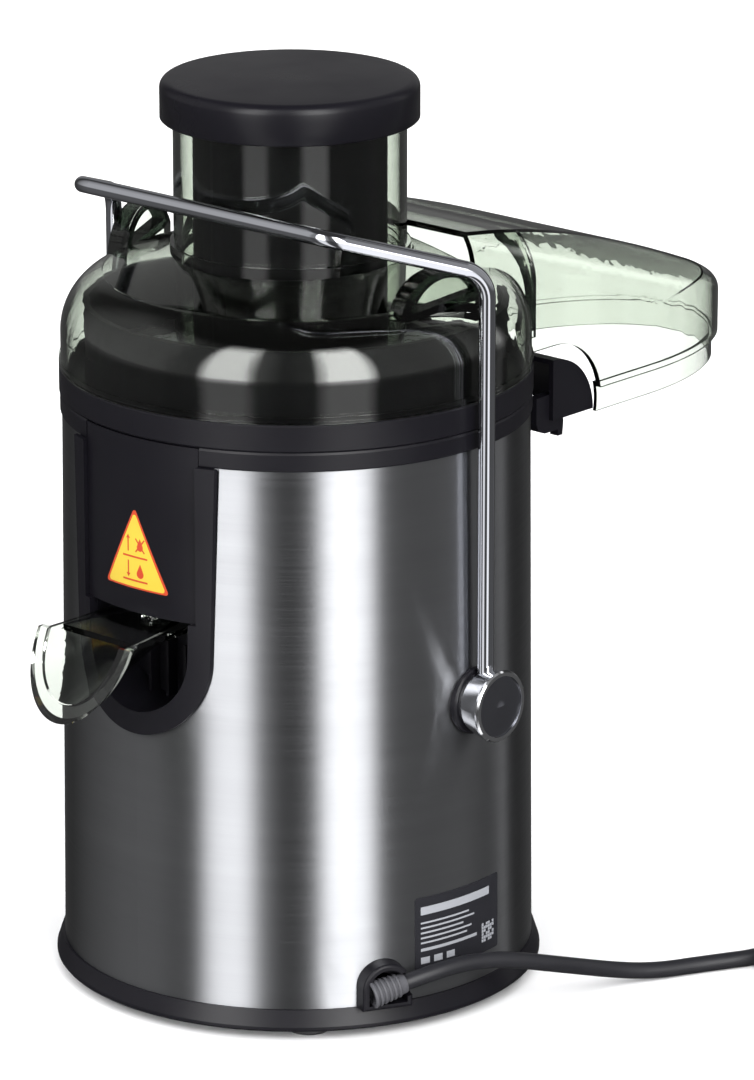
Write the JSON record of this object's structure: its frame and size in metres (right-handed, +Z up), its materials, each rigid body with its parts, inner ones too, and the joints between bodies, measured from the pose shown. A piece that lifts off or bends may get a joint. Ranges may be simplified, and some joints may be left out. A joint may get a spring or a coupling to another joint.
{
  "type": "centrifugal juicer",
  "caption": "Upright centrifugal juicer: steel drum on a black base, clear domed lid with feed chute and pulp hood, pouring spout, wire locking bail, coiled mains cord.",
  "frame": {"origin": "on the motor axis, in the plane the four feet stand on", "axes": "+Z up along the motor axis, +X towards the spout, -X towards the pulp hood, +Y the side the cord leaves"},
  "size_m": [0.37, 0.3651, 0.3519],
  "materials": {
    "black_plastic": "satin moulded ABS, bluish black",
    "clear_lid": "transparent smoky SAN, polished",
    "steel": "satin stainless steel sheet",
    "chrome": "polished plating",
    "spring_steel": "polished stainless wire",
    "dark_face": "dark satin disc",
    "rubber": "matte",
    "grey_rubber": "matte grey sleeve",
    "cord": "matte PVC sheath",
    "plug_plastic": "moulded PVC",
    "brass": "nickelled brass pins",
    "label": "printed foil",
    "sticker": "printed film",
    "clear_spout": "transparent smoky SAN",
    "steel_basket": "perforated stainless sheet",
    "grey_plastic": "glass-filled nylon",
    "iron": "varnished electrical steel laminations",
    "copper": "enamelled copper wire",
    "shaft_steel": "ground steel",
    "zinc_steel": "zinc-plated steel",
    "carbon": "graphite",
    "board": "glass-epoxy board"
  },
  "bodies": {
    "machine": {"feet": "rubber", "base_pan": "black_plastic", "base_screws": "zinc_steel", "cord_gland": "black_plastic", "strain_relief": "grey_rubber", "power_cord": "cord", "cord_coil": "cord", "coil_tie": "rubber", "cord_tail": "cord", "plug": "plug_plastic", "plug_pins": "brass", "steel_sleeve": "steel", "rating_label": "label", "upper_housing": "black_plastic", "panel_frame": "black_plastic", "spout_panel": "black_plastic", "control_sticker": "sticker", "spout_niche": "black_plastic", "juice_bowl": "black_plastic", "pulp_deflector": "black_plastic", "lid": "clear_lid", "pivot_bushes": "black_plastic", "interlock_switch": "grey_plastic", "stator_core": "iron", "field_coils": "copper", "lower_bracket": "zinc_steel", "upper_bracket": "zinc_steel", "bearings": "shaft_steel", "motor_dampers": "rubber", "motor_screws": "zinc_steel", "brush_plate": "grey_plastic", "carbon_brushes": "carbon", "dial_bezel": "black_plastic", "rotary_switch": "grey_plastic", "circuit_board": "board"},
    "bail": {"bail_arm": "spring_steel", "pivot_pins": "shaft_steel", "pivot_knobs": "chrome", "knob_faces": "dark_face"},
    "pusher": {"pusher_body": "black_plastic", "pusher_cap": "black_plastic"},
    "spinner": {"filter_basket": "steel_basket", "basket_rim": "black_plastic", "basket_hub": "grey_plastic", "grater_disc": "steel_basket", "drive_coupler": "grey_plastic", "motor_shaft": "shaft_steel", "rotor_core": "iron", "rotor_windings": "copper", "commutator": "copper", "cooling_fan": "black_plastic"},
    "dial": {"control_dial": "black_plastic", "dial_spindle": "shaft_steel"},
    "spout": {"spout": "clear_spout", "valve_seal": "rubber"}
  },
  "joints": [
    {"name": "bail_swing", "type": "hinge", "parent": "machine", "child": "bail", "pos_m": [0, 0, 0.1245], "axis": [0, 1, 0], "range_deg": [0, 100]},
    {"name": "pusher_slide", "type": "slide", "parent": "machine", "child": "pusher", "axis": [0, 0, 1], "range_m": [0, 0.09]},
    {"name": "basket_spin", "type": "hinge", "parent": "machine", "child": "spinner", "pos_m": [0, 0, 0.15], "axis": [0, 0, 1], "continuous": true},
    {"name": "dial_turn", "type": "hinge", "parent": "machine", "child": "dial", "pos_m": [0, -0.09, 0.062], "axis": [0, -1, 0], "range_deg": [0, 90]},
    {"name": "spout_slide", "type": "slide", "parent": "machine", "child": "spout", "axis": [0, 0, 1], "range_m": [-0.007, 0]}
  ]
}
